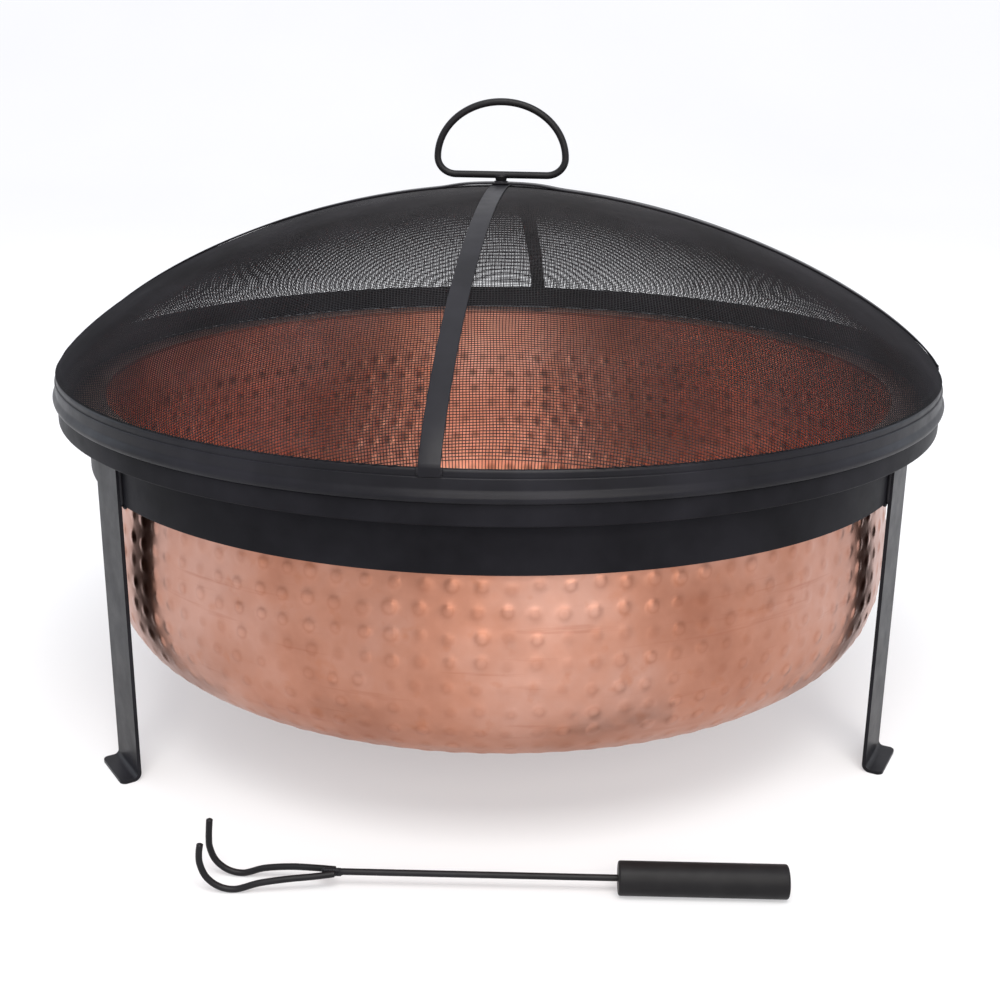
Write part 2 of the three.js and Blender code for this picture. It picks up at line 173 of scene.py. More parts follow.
class Shape:
    """Points and faces of one piece, in millimetres."""

    def __init__(self):
        self.points = []
        self.faces = []
        self.count = 0

    def grid(self, rows, wrap_rows=False, caps=False):
        """Quads over an array of rows x columns x 3, each row closed on itself."""
        rows = np.asarray(rows, float)
        n, m = rows.shape[:2]
        i, j = np.meshgrid(np.arange(n if wrap_rows else n - 1), np.arange(m), indexing="ij")
        i2, j2 = (i + 1) % n, (j + 1) % m
        quads = np.stack([i * m + j, i * m + j2, i2 * m + j2, i2 * m + j], -1).reshape(-1, 4)
        self.faces += (quads + self.count).tolist()
        if caps:
            self.faces.append([self.count + k for k in reversed(range(m))])
            self.faces.append([self.count + (n - 1) * m + k for k in range(m)])
        self.points.append(rows.reshape(-1, 3))
        self.count += n * m
        return self

    def lathe(self, profile, sides=SIDES):
        """Turns a closed loop of (radius, height) about the vertical axis."""
        profile = np.asarray(profile, float)
        angle = np.arange(sides) * math.tau / sides
        r, z = profile[:, 0], profile[:, 1]
        x, y = np.cos(angle)[:, None] * r, np.sin(angle)[:, None] * r
        rows = np.stack([x, y, np.tile(z, (sides, 1))], -1)
        return self.grid(rows[::-1], wrap_rows=True)

    def tube(self, path, radius, around=12, closed=False):
        """A round rod along a path, with domed ends when it is open."""
        path = np.asarray(path, float)
        radius = np.broadcast_to(np.asarray(radius, float), (len(path),)).copy()
        along, side, up = frames(path, closed)
        if not closed:
            first, last = radius[0], radius[-1]
            inner = slice(1, -1)
            head_r = [first * math.sin(t) for t in np.radians([14, 45, 72])]
            tail_r = [last * math.sin(t) for t in np.radians([72, 45, 14])]
            steps = np.array([0.0, 0.3, 0.7]) * first
            head = [path[0] + along[0] * s for s in steps]
            tail = [path[-1] - along[-1] * s for s in steps[::-1]]
            path = np.vstack([head, path[inner], tail])
            radius = np.concatenate([head_r, radius[inner], tail_r])
            side = np.vstack([side[:1]] * 3 + [side[inner]] + [side[-1:]] * 3)
            up = np.vstack([up[:1]] * 3 + [up[inner]] + [up[-1:]] * 3)
        angle = np.arange(around) * math.tau / around
        ring = (
            np.cos(angle)[None, :, None] * side[:, None, :]
            + np.sin(angle)[None, :, None] * up[:, None, :]
        )
        rows = path[:, None] + ring * radius[:, None, None]
        return self.grid(rows, wrap_rows=closed, caps=not closed)

    def move(self, matrix):
        """Turns and shifts every point by a 4 x 4 matrix."""
        matrix = np.array(matrix)
        self.points = [p @ matrix[:3, :3].T + matrix[:3, 3] for p in self.points]
        return self

    def piece(self, name, body, material, stands_for=(), slot=None, sharp=40):
        """Makes the Blender object, in metres, riding on a body."""
        mesh = bpy.data.meshes.new(name)
        mesh.from_pydata((np.vstack(self.points) * MM).tolist(), [], self.faces)
        mesh.polygons.foreach_set("use_smooth", [True] * len(mesh.polygons))
        mesh.set_sharp_from_angle(angle=math.radians(sharp))
        mesh.materials.append(material)
        mesh.update()
        thing = bpy.data.objects.new(name, mesh)
        bpy.context.scene.collection.objects.link(thing)
        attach(thing, body)
        if stands_for:
            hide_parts(*stands_for)
        return thing


def unit(v):
    return v / np.maximum(np.linalg.norm(v, axis=-1, keepdims=True), 1e-12)


def frames(path, closed=False):
    """Direction, side and up at each point of a path, with as little twist as can be."""
    if closed:
        along = unit(np.roll(path, -1, 0) - np.roll(path, 1, 0))
    else:
        along = unit(np.gradient(path, axis=0))
    start = np.array([0.0, 0.0, 1.0]) if abs(along[0][2]) < 0.9 else np.array([0.0, 1.0, 0.0])
    side = [unit(np.cross(start, along[0]))]
    for a in along[1:]:
        s = side[-1] - a * (side[-1] @ a)
        side.append(unit(s))
    side = np.array(side)
    return along, side, np.cross(along, side)


def turn(degrees, y=0.0):
    """A turn about the vertical axis, then a shift along y."""
    return Matrix.Translation((0.0, y, 0.0)) @ Matrix.Rotation(math.radians(degrees), 4, "Z")


def rounded(corners, radius, steps=4):
    """A closed outline with each corner eased by a small arc."""
    corners = np.asarray(corners, float)
    out = []
    n = len(corners)
    for i in range(n):
        before, here, after = corners[i - 1], corners[i], corners[(i + 1) % n]
        a, b = unit(before - here), unit(after - here)
        shorter = min(np.linalg.norm(before - here), np.linalg.norm(after - here))
        reach = min(radius, shorter * 0.45)
        start, end = here + a * reach, here + b * reach
        for k in range(steps + 1):
            t = k / steps
            out.append(start * (1 - t) ** 2 + here * 2 * t * (1 - t) + end * t * t)
    return np.array(out)


def bead(shape, path, radius, seed):
    """A weld bead: overlapping ripples along a path, tapered at both ends."""
    rng = np.random.default_rng(seed)
    path = np.asarray(path, float)
    length = np.concatenate([[0], np.cumsum(np.linalg.norm(np.diff(path, axis=0), axis=1))])
    count = max(8, int(length[-1] / BEAD_STEP))
    s = np.linspace(0, length[-1], count)
    fine = np.stack([np.interp(s, length, path[:, k]) for k in range(3)], -1)
    saw = (s / BEAD_RIPPLE) % 1.0
    drift = rng.standard_normal(count).cumsum() / math.sqrt(count)
    size = radius * (0.9 + 0.16 * np.sin(saw * math.pi) + 0.05 * drift)
    ends = np.clip(np.minimum(s, length[-1] - s) / (radius * 1.2), 0.25, 1) ** 0.5
    return shape.tube(fine, size * ends, around=10)


# ---------------------------------------------------------------- materials

class Paint:
    """A small node tree round one Principled shader."""

    def __init__(self, name):
        self.material = bpy.data.materials.new(name)
        self.material.use_nodes = True
        self.tree = self.material.node_tree
        self.shader = self.tree.nodes["Principled BSDF"]
        self.place = self.tree.nodes.new("ShaderNodeTexCoord").outputs["Object"]

    def node(self, kind, **values):
        made = self.tree.nodes.new(kind)
        for key, value in values.items():
            if key in made.inputs:
                self.put(made.inputs[key], value)
            else:
                setattr(made, key, value)
        return made

    def put(self, socket, value):
        if isinstance(value, bpy.types.NodeSocket):
            self.tree.links.new(value, socket)
        else:
            socket.default_value = value

    def set(self, **values):
        for key, value in values.items():
            self.put(self.shader.inputs[key.replace("_", " ")], value)
        return self

    def noise(self, scale, detail=3.0, rough=0.5, vector=None):
        made = self.node("ShaderNodeTexNoise", Scale=scale, Detail=detail, Roughness=rough)
        self.put(made.inputs["Vector"], vector or self.place)
        return made.outputs["Fac"]

    def stretch(self, x, y, z):
        made = self.node("ShaderNodeMapping", Vector=self.place)
        made.inputs["Scale"].default_value = (x, y, z)
        return made.outputs["Vector"]

    def spread(self, value, low, high, a=0.3, b=0.7):
        made = self.node("ShaderNodeMapRange")
        self.put(made.inputs["Value"], value)
        made.inputs["From Min"].default_value = a
        made.inputs["From Max"].default_value = b
        made.inputs["To Min"].default_value = low
        made.inputs["To Max"].default_value = high
        return made.outputs["Result"]

    def ramp(self, value, *stops):
        made = self.node("ShaderNodeValToRGB")
        self.put(made.inputs["Fac"], value)
        while len(made.color_ramp.elements) < len(stops):
            made.color_ramp.elements.new(0.5)
        for element, (at, colour) in zip(made.color_ramp.elements, stops):
            element.position = at
            element.color = (*colour, 1)
        return made.outputs["Color"]

    def mix(self, share, a, b, blend="MIX"):
        made = self.node("ShaderNodeMix", data_type="RGBA", blend_type=blend)
        self.put(made.inputs[0], share)
        self.put(made.inputs[6], a)
        self.put(made.inputs[7], b)
        return made.outputs[2]

    def bump(self, height, depth, under=None):
        """A bump of a depth in millimetres, on top of another one."""
        made = self.node("ShaderNodeBump", Height=height, Distance=depth * MM)
        made.inputs["Strength"].default_value = 1.0
        if under is not None:
            self.put(made.inputs["Normal"], under)
        return made.outputs["Normal"]


def black_coat(name, base, rough, grain=0.03, shine=0.07):
    """Satin powder coat: fine orange peel, faint dust and rubbed patches."""
    p = Paint(name)
    low, high = [c * 0.75 for c in base], [c * 1.35 for c in base]
    patch = p.noise(14.0, 4.0, 0.6)
    fine = p.noise(700.0, 2.0)
    wave = p.noise(160.0, 2.0)
    p.set(Base_Color=p.ramp(patch, (0.35, low), (0.65, high)))
    p.set(Specular_IOR_Level=shine)
    p.set(Roughness=p.spread(p.noise(45.0, 5.0, 0.65), rough - 0.05, rough + 0.06))
    p.set(Normal=p.bump(fine, grain, under=p.bump(wave, grain * 0.8)))
    return p.material


def copper_sheet(name, bright, rough, streak, crown, edge):
    """
    Hammered copper, brushed up and down: warm, with faint heat tint, soft stains and fine rubbing marks.
    The point attribute "mark" is 1 on a hammer mark and 0 beside it. The colour is multiplied by crown on
    the mark and by edge round it, and bright scales it everywhere. The crown and edge factors are painted
    shading: the dents are drawn lighter or darker on the crown and darker round it, in place of their
    light and shade.
    """
    p = Paint(name)
    pale, middle, dark = (0.73, 0.405, 0.315), (0.66, 0.312, 0.214), (0.53, 0.225, 0.145)
    brown, orange, red = (0.44, 0.175, 0.100), (0.60, 0.215, 0.105), (0.50, 0.185, 0.115)

    def lit(colour, *alpha):
        return (*(c * bright for c in colour), *alpha)

    tone = p.ramp(p.noise(7.0, 5.0, 0.6), (0.34, lit(dark)), (0.50, lit(middle)), (0.66, lit(pale)))
    stains = p.spread(p.noise(11.0, 3.0, 0.5), 0.0, 0.55, 0.56, 0.74)
    tone = p.mix(stains, tone, lit(brown, 1))
    spots = p.spread(p.noise(55.0, 3.0, 0.5), 0.0, 0.42, 0.60, 0.74)
    tone = p.mix(spots, tone, lit(orange, 1))
    lines = p.spread(p.noise(1.0, 3.0, 0.6, p.stretch(9.0, 9.0, 150.0)), 0.0, 0.5, 0.60, 0.76)
    tone = p.mix(lines, tone, lit(red, 1))
    mark = p.node("ShaderNodeAttribute", attribute_name="mark").outputs["Fac"]
    beside, round_it, on_it = (1, 1, 1), (edge, edge * 0.95, edge * 0.92), (crown, crown, crown)
    # painted shading: the marks' crowns lightened outside and darkened inside, and their rings darkened,
    # standing in for the light and shade on the dents
    painted_dent_shading = p.ramp(mark, (0.10, beside), (0.45, round_it), (0.90, on_it))
    p.set(Base_Color=p.mix(1.0, tone, painted_dent_shading, "MULTIPLY"), Metallic=1.0)
    rub = p.noise(1.0, 4.0, 0.6, p.stretch(60.0, 60.0, 900.0))
    round_axis = p.node("ShaderNodeTangent", direction_type="RADIAL", axis="Z")
    p.set(Tangent=round_axis.outputs["Tangent"], Anisotropic=streak, Anisotropic_Rotation=0.25)
    p.set(Roughness=p.spread(p.noise(38.0, 3.0, 0.5), rough - 0.05, rough + 0.05))
    dimpling = p.bump(p.noise(75.0, 2.0), 0.16, under=p.bump(p.noise(260.0, 2.0), 0.025))
    p.set(Normal=p.bump(rub, 0.006, under=dimpling))
    return p.material


def zinc_plate():
    """Bright zinc with a faint spangle."""
    p = Paint("zinc")
    cell = p.node("ShaderNodeTexVoronoi", Vector=p.place, Scale=420.0)
    dull, bright = (0.50, 0.51, 0.53), (0.68, 0.69, 0.70)
    p.set(Base_Color=p.ramp(cell.outputs["Color"], (0.2, dull), (0.9, bright)))
    p.set(Metallic=1.0, Roughness=p.spread(p.noise(300.0), 0.26, 0.42))
    p.set(Normal=p.bump(p.noise(900.0), 0.01))
    return p.material


def grate_iron():
    """Dark, rather rough steel with scale and a trace of ash."""
    p = Paint("grate_iron")
    scale = p.noise(150.0, 6.0, 0.7)
    ash = p.spread(p.noise(34.0, 6.0, 0.7), 0.0, 0.5, 0.56, 0.78)
    dark = p.ramp(scale, (0.3, (0.012, 0.011, 0.011)), (0.7, (0.045, 0.040, 0.037)))
    p.set(Base_Color=p.mix(ash, dark, (0.10, 0.094, 0.088, 1)))
    p.set(Metallic=0.35, Roughness=p.spread(scale, 0.5, 0.74))
    p.set(Normal=p.bump(scale, 0.22, under=p.bump(p.noise(900.0), 0.05)))
    return p.material


def grip_plastic():
    """Black moulded grip with a fine leather grain."""
    p = Paint("grip")
    grain = p.node("ShaderNodeTexVoronoi", Vector=p.place, Scale=900.0)
    low, high = (0.0075, 0.0072, 0.0080), (0.0125, 0.0120, 0.0130)
    p.set(Base_Color=p.ramp(p.noise(40.0, 4.0), (0.3, low), (0.7, high)), Specular_IOR_Level=0.12)
    p.set(Roughness=p.spread(p.noise(90.0, 4.0), 0.42, 0.54))
    p.set(Normal=p.bump(grain.outputs["Distance"], 0.03))
    return p.material


BLACK = black_coat("black_coat", (0.0085, 0.0083, 0.0104), 0.42, shine=0.04)
BLACK_SATIN = black_coat("black_satin", (0.0085, 0.0083, 0.0108), 0.38, shine=0.12)
BLACK_WIRE = black_coat("black_wire", (0.0120, 0.0117, 0.0142), 0.50, 0.01, shine=0.2)
BLACK_ROD = black_coat("black_rod", (0.0085, 0.0082, 0.0095), 0.42, 0.02, shine=0.15)
WELD = black_coat("black_weld", (0.0110, 0.0106, 0.0130), 0.38, 0.03, shine=0.12)
# The inside copper is a paler copy of the outside one (bright 1.34 against 0.69): painted light, where the
# mesh keeps light from the bowl's inside.
COPPER = copper_sheet("copper_outside", 0.69, 0.33, 0.80, crown=1.06, edge=0.92)
COPPER_INSIDE = copper_sheet("copper_inside", 1.34, 0.50, 0.92, crown=0.45, edge=0.82)
ZINC = zinc_plate()
IRON = grate_iron()
GRIP = grip_plastic()


# ---------------------------------------------------------------- stand

def box(low_x, low_y, high_x, high_y):
    return [(low_x, low_y), (high_x, low_y), (high_x, high_y), (low_x, high_y)]


hoop = rounded(box(HOOP_INNER, HOOP_LOW, HOOP_INNER + PLATE, HOOP_TOP), 0.9)
Shape().lathe(hoop).piece("hoop", "stand", BLACK, ["stand_hoop"], "black_steel")


def leg_outline():
    """Side view of a leg: the bar down from the hoop and the foot bent outwards."""
    outer = LEG_INNER + PLATE
    bend, steps = FOOT_BEND, 8
    points = [(LEG_INNER, HOOP_TOP)]
    for k in range(steps + 1):
        a = math.radians(180 + k * 90 / steps)
        points.append((LEG_INNER + bend + bend * math.cos(a), bend + bend * math.sin(a)))
    points += [(FOOT_END, 0.0), (FOOT_END, PLATE)]
    bend = FOOT_BEND - PLATE
    for k in range(steps + 1):
        a = math.radians(270 - k * 90 / steps)
        points.append((outer + bend + bend * math.cos(a), PLATE + bend + bend * math.sin(a)))
    points.append((outer, HOOP_TOP))
    return np.array(points)


def leg(name, degrees):
    """A flat bar with rounded toes and slightly eased edges."""
    outline = leg_outline()
    half, corner = LEG_WIDTH / 2, LEG_CORNER
    stations = [-(half - corner) - corner * math.sin(math.radians(a)) for a in range(90, -1, -15)]
    stations += [-s for s in reversed(stations)]
    rows = []
    for y in stations:
        over = max(0.0, abs(y) - (half - corner))
        end = FOOT_END - (corner - math.sqrt(max(0.0, corner * corner - over * over)))
        row = [(end if x > FOOT_END - 0.01 else x, y, z) for x, z in outline]
        rows.append(row)
    shape = Shape().grid(np.array(rows)[::-1], caps=True).move(turn(degrees))
    thing = shape.piece(name + "_bar", "stand", BLACK_SATIN, [name], "black_steel", sharp=35)
    ease = thing.modifiers.new("ease", "BEVEL")
    ease.width = 0.5 * MM
    ease.segments = 2
    ease.limit_method = "ANGLE"
    ease.angle_limit = math.radians(50)


def leg_welds(name, degrees, seed):
    """Beads where the leg's edges cross the hoop, with a fillet at the hoop's lower edge."""
    shape = Shape()
    half = LEG_WIDTH / 2
    below = HOOP_LOW - 0.4
    seam, fillet = 1.3, 1.5
    x = math.sqrt((HOOP_INNER + PLATE) ** 2 - half * half)
    for k, side in enumerate((-1, 1)):
        heights = np.linspace(HOOP_LOW + 1.0, HOOP_TOP - 0.5, 30)
        bead(shape, [(x + 0.9, side * (half + 0.5), z) for z in heights], seam, seed + k)
        runs = np.linspace(-1.0, 5.0, 12)
        bead(shape, [(x - 0.4, side * (half + 0.4 + t), below) for t in runs], fillet, seed + 7 + k)
    widths = np.linspace(-half + 2, half - 2, 40)
    bead(shape, [(LEG_INNER - 1.2, y, below) for y in widths], seam, seed + 20)
    shape.move(turn(degrees)).piece(name + "_welds", "stand", WELD, slot="black_steel")


for index, name in enumerate(("leg_front_right", "leg_rear", "leg_front_left")):
    leg(name, LEG_TURN + 120 * index)
    leg_welds(name, LEG_TURN + 120 * index, 30 + 50 * index)


# ---------------------------------------------------------------- bowl

rim = rounded(
    [
        (RIM_INNER, RIM_TOP - PLATE),
        (RIM_RADIUS - PLATE, RIM_TOP - PLATE),
        (RIM_RADIUS - PLATE, RIM_LOW),
        (RIM_RADIUS, RIM_LOW),
        (RIM_RADIUS, RIM_TOP),
        (RIM_INNER, RIM_TOP),
    ],
    1.6,
    6,
)
Shape().lathe(rim, RIM_SIDES).piece("rim", "bowl", BLACK, ["bowl_rim"], "black_steel")


def bowl_line():
    """The outer face in side view, from the middle of the floor up to the flange."""
    t = np.linspace(0, 1, 400)[::-1]
    corners = [
        (BOWL_RADIUS, HOOP_LOW),
        (BOWL_RADIUS + 7.0, HOOP_LOW - 100.0),
        (BOWL_FLAT + 112.0, BOWL_FLOOR),
        (BOWL_FLAT, BOWL_FLOOR),
    ]
    weights = [(1 - t) ** 3, 3 * t * (1 - t) ** 2, 3 * t * t * (1 - t), t ** 3]
    belly = sum(w[:, None] * np.array(c) for w, c in zip(weights, corners))
    floor = np.stack([np.linspace(0.6, BOWL_FLAT - 2, 120), np.full(120, BOWL_FLOOR)], -1)
    wall = np.stack([np.full(40, BOWL_RADIUS), np.linspace(HOOP_LOW + 1, RIM_TOP - 1.5, 40)], -1)
    return np.vstack([floor, belly, wall])


def evenly(line, step):
    """The same line with points at even steps along it, and how far along each lies."""
    length = np.concatenate([[0], np.cumsum(np.linalg.norm(np.diff(line, axis=0), axis=1))])
    s = np.linspace(0, length[-1], int(length[-1] / step) + 1)
    return np.stack([np.interp(s, length, line[:, k]) for k in range(2)], -1), s


class Hammering:
    """Rows of round dents over the bowl. Each row has its own count, so the marks stay one pitch apart."""

    def __init__(self, line, steps):
        rng = np.random.default_rng(11)
        self.line, self.steps = line, steps
        along = unit(np.gradient(line, axis=0))
        self.normal = np.stack([along[:, 1], -along[:, 0]], -1)
        self.rows = []
        top = steps[-1] - DENT_START
        first = int(DENT_FROM / DENT_ROW)
        last = int(top / DENT_ROW)
        for k in range(first, last + 1):
            middle = top - (last - k + 0.5) * DENT_ROW
            radius = np.interp(middle, steps, line[:, 0])
            count = max(6, round(math.tau * radius / DENT_PITCH))
            lap = np.arange(count) / count * math.tau
            worn = 0.8 + 0.2 * np.sin(3 * lap + 0.5 * k + 2.0) * np.sin(5 * lap - 0.3 * k)
            self.rows.append({
                "middle": middle,
                "count": count,
                "phase": (0.75 * count + rng.normal(0, 0.07)) % 1,
                "shift": rng.normal(0, 0.8, (count, 2)),
                "height": DENT_HEIGHT * rng.uniform(0.5, 1.15, count) * worn,
                "size": DENT_RADIUS * rng.uniform(0.88, 1.12, count),
            })

    def press(self, s, angle, rows):
        """How far the sheet stands out, and how strongly it is marked, at distances s and angles."""
        radius = np.interp(s, self.steps, self.line[:, 0])
        # Two irregular waves: s is divided by lengths in mm, angle is multiplied by whole counts.
        out = SHEET_SWELL * np.sin(s / 31 + 2.2 * np.sin(3 * angle)) * np.sin(7 * angle + s / 57)
        out += SHEET_RIPPLE * np.sin(s / 9.5 + 5 * np.sin(5 * angle)) * np.sin(23 * angle - s / 23)
        mark = np.zeros_like(out)
        for row in rows:
            which = np.floor(angle / math.tau * row["count"] - row["phase"]).astype(int)
            index = which % row["count"]
            middle = (which + 0.5 + row["phase"]) / row["count"] * math.tau
            across = (angle - middle) * radius - row["shift"][index, 0]
            down = s - row["middle"] - row["shift"][index, 1]
            away = np.hypot(across, down) / row["size"][index]
            lift = np.exp(-(away ** DENT_EDGE))
            out += row["height"][index] * lift
            mark += row["height"][index] / DENT_HEIGHT * lift
        return out, mark

    def point(self, s, angle, rows, depth):
        """A place on the sheet. Marks and waves fade out at the rim and in the middle of the floor."""
        r = np.interp(s, self.steps, self.line[:, 0])
        z = np.interp(s, self.steps, self.line[:, 1])
        nr = np.interp(s, self.steps, self.normal[:, 0])
        nz = np.interp(s, self.steps, self.normal[:, 1])
        fade = np.clip((self.steps[-1] - s) / FADE_AT_RIM, 0, 1)
        fade *= np.clip((s - FADE_FROM) / FADE_AT_FLOOR, 0, 1)
        fade *= np.clip(BELLY_SHARE + (z - BOWL_FLOOR - 6.0) / BELLY_RISE, BELLY_SHARE, 1)
        out = self.press(s, angle, rows)[0] * fade - depth
        r, z = r + nr * out, z + nz * out
        return np.stack([r * np.cos(angle), r * np.sin(angle), z], -1)

    def skin(self, name, depth, material, stands_for):
        """
        One face of the sheet, row by row, with its normals taken from the surface itself. Each mark
        has its own patch of points, given as shares of the pitch and the row, closest at its edge.
        """
        shape, normals, marks = Shape(), [], []
        around = np.array([0.0, 0.18, 0.28, 0.38, 0.5, 0.62, 0.72, 0.82])
        up = np.array([0.0, 0.18, 0.3, 0.42, 0.58, 0.7, 0.82, 1.0])
        bottom = self.rows[0]["middle"] - DENT_ROW / 2
        bands = [(np.array([0.6, 30.0, 60.0, bottom]), np.arange(96) / 96, [])]
        for k, row in enumerate(self.rows):
            s = row["middle"] + (up - 0.5) * DENT_ROW
            turns = (np.arange(row["count"])[:, None] + around + row["phase"]).ravel() / row["count"]
            bands.append((s, turns, self.rows[max(0, k - 1):k + 2]))
        rim = self.rows[-1]["middle"] + DENT_ROW / 2
        turns = np.arange(FLANGE_SIDES) / FLANGE_SIDES
        bands.append((np.linspace(rim, self.steps[-1], 9), turns, self.rows[-1:]))
        for s, turns, rows in bands:
            s, angle = np.meshgrid(s, turns * math.tau, indexing="ij")
            here = self.point(s, angle, rows, depth)
            mark = self.press(s, angle, rows)[1]
            step = 0.2
            turn_step = step / np.maximum(np.interp(s, self.steps, self.line[:, 0]), 1)
            before, after = angle - turn_step, angle + turn_step
            up_slope = self.point(s + step, angle, rows, depth) - self.point(s - step, angle, rows, depth)
            round_slope = self.point(s, after, rows, depth) - self.point(s, before, rows, depth)
            normal = unit(np.cross(round_slope, up_slope))
            if depth:
                here, normal, mark = here[:, ::-1], -normal[:, ::-1], mark[:, ::-1]
            shape.grid(here)
            normals.append(normal.reshape(-1, 3))
            marks.append(mark.ravel())
        thing = shape.piece(name, "bowl", material, stands_for, "copper", sharp=180)
        thing.data.normals_split_custom_set_from_vertices(np.vstack(normals).tolist())
        layer = thing.data.attributes.new("mark", "FLOAT", "POINT")
        layer.data.foreach_set("value", np.concatenate(marks).astype(np.float32))
        return thing


def copper_bowl():
    line, steps = evenly(bowl_line(), 1.0)
    hammering = Hammering(line, steps)
    hammering.skin("bowl_outside", 0.0, COPPER, ["copper_bowl"])
    hammering.skin("bowl_inside", BOWL_SHEET, COPPER_INSIDE, [])
    flange = rounded(
        [
            (BOWL_RADIUS - BOWL_SHEET, RIM_TOP - 2.5),
            (BOWL_RADIUS, RIM_TOP - 2.5),
            (BOWL_RADIUS, RIM_TOP + 0.3),
            (FLANGE_RADIUS, RIM_TOP + 0.3),
            (FLANGE_RADIUS, FLANGE_TOP),
            (BOWL_RADIUS - BOWL_SHEET, FLANGE_TOP),
        ],
        0.55,
    )
    Shape().lathe(flange, FLANGE_SIDES).piece("bowl_flange", "bowl", COPPER, slot="copper")


copper_bowl()


# ---------------------------------------------------------------- grate

def circle(radius, height, count=160, middle=(0, 0)):
    a = np.arange(count) * math.tau / count
    x, y = middle
    return np.stack([x + radius * np.cos(a), y + radius * np.sin(a), np.full(count, height)], -1)


Shape().tube(circle(GRATE_RADIUS, GRATE_LEVEL), GRATE_WIRE, 16, closed=True).piece(
    "grate_hoop", "grate", IRON, ["grate_ring"], "grate_steel"
)
grate_welds = Shape()
for index in range(GRATE_BARS):
    x = (index - GRATE_BARS // 2) * GRATE_PITCH
    reach = math.sqrt(GRATE_RADIUS ** 2 - x * x)
    over = GRATE_WIRE
    path = [(x, y, GRATE_BAR_LEVEL) for y in np.linspace(-reach - over, reach + over, 60)]
    name = f"grate_bar_{index + 1}"
    Shape().tube(path, GRATE_WIRE, 16).piece(name + "_rod", "grate", IRON, [name], "grate_steel")
    for k, side in enumerate((-1, 1)):
        for j, off in enumerate((-1, 1)):
            spot = [
                (x + off * 3.4, side * (reach - 2.8), GRATE_BAR_LEVEL - 4.4),
                (x + off * 3.7, side * reach, GRATE_BAR_LEVEL - 4.0),
                (x + off * 3.4, side * (reach + 2.8), GRATE_BAR_LEVEL - 4.4),
            ]
            bead(grate_welds, spot, 1.5, 400 + index * 4 + k * 2 + j)
for index in range(GRATE_LEGS):
    a = math.radians(45 + 90 * index)
    x, y = GRATE_RADIUS * math.cos(a), GRATE_RADIUS * math.sin(a)
    name = f"grate_leg_{index + 1}"
    path = [(x, y, z) for z in np.linspace(BOWL_FLOOR + 1.5, GRATE_LEVEL - 4.3, 24)]
    Shape().tube(path, GRATE_WIRE, 16).piece(name + "_rod", "grate", IRON, [name], "grate_steel")
    bead(grate_welds, circle(GRATE_WIRE + 0.3, GRATE_LEVEL - 4.6, 20, (x, y)), 1.3, 470 + index)
grate_welds.piece("grate_welds", "grate", IRON, slot="grate_steel")


# ---------------------------------------------------------------- screen

band = rounded(
    [
        (BAND_INNER, 293.7),
        (BAND_INNER, BAND_FOOT),
        (383.0, BAND_FOOT),
        (384.1, 294.5),
        (384.5, 296.7),
        (383.5, 299.3),
        (BAND_OUTER, 301.8),
        (BAND_OUTER, BAND_TOP),
        (BAND_INNER, BAND_TOP),
    ],
    1.0,
)
Shape().lathe(band, RIM_SIDES).piece("band", "screen", BLACK_SATIN, ["screen_band"], "black_steel")
hem = rounded(
    [
        (HEM_INNER, HEM_LOW),
        (380.6, HEM_LOW),
        (HEM_OUTER, 310.4),
        (HEM_OUTER, 314.0),
        (379.7, HEM_TOP),
        (377.9, HEM_TOP),
        (HEM_INNER, 314.2),
    ],
    0.8,
)
Shape().lathe(hem, RIM_SIDES).piece("hem", "screen", BLACK_SATIN, ["mesh_hem"], "black_steel")


def dome_line():
    """The mesh's outer face in side view: radius and height against the distance from the top."""
    share = 1 - (1 - np.linspace(0, 1, 4000)) ** 3
    r = SCREEN_RADIUS * share
    z = SCREEN_LOW + SCREEN_RISE * (1 - np.minimum(share, 1) ** DOME_CROWN) ** DOME_SHOULDER
    s = np.concatenate([[0], np.cumsum(np.hypot(np.diff(r), np.diff(z)))])
    slope_r, slope_z = np.gradient(r, s), np.gradient(z, s)
    return s, r, z, slope_r, slope_z


DOME = dome_line()


def on_dome(s, inward):
    """Radius and height at a distance from the top, set in from the outer face."""
    s = np.abs(s)
    r, z = np.interp(s, DOME[0], DOME[1]), np.interp(s, DOME[0], DOME[2])
    dr, dz = np.interp(s, DOME[0], DOME[3]), np.interp(s, DOME[0], DOME[4])
    return r + dz * inward, z - dr * inward


def woven(first, last, across):
    """One layer of the mesh's wires, drawn in the flat sheet and laid over the dome."""
    end = DOME[0][-1] - 0.2
    shape = Shape()
    angle = np.arange(4) * math.tau / 4 + math.pi / 4
    for k in range(first, last):
        offset = (k + 0.5) * WIRE_PITCH
        if abs(offset) > end - 6:
            continue
        half = math.sqrt(end * end - offset * offset)
        steps = max(3, int(half * 2 / 10))
        along = np.linspace(-half, half, steps)
        u, v = (np.full(steps, offset), along) if across else (along, np.full(steps, offset))
        slack = MESH_SLACK * np.clip((end - np.hypot(u, v)) / 20, 0, 1)
        slow_u = slack * np.sin(v / 31 + 1.3) * np.sin(u / 43 + 0.4)
        slow_v = slack * np.sin(u / 29 + 0.7) * np.sin(v / 47 + 2.1)
        quick_u = slack * 0.4 * np.sin(v / 11 + u / 17)
        quick_v = slack * 0.4 * np.sin(u / 13 - v / 15)
        u, v = u + slow_u + quick_u, v + slow_v + quick_v
        s, theta = np.hypot(u, v), np.arctan2(v, u)
        r, z = on_dome(s, MESH_DEPTH + (WIRE_RADIUS if across else -WIRE_RADIUS) * 0.8)
        path = np.stack([r * np.cos(theta), r * np.sin(theta), z], -1)
        side, up = frames(path)[1:]
        ring = np.cos(angle)[:, None] * side[:, None] + np.sin(angle)[:, None] * up[:, None]
        shape.grid(path[:, None] + ring * WIRE_RADIUS, caps=True)
    return shape


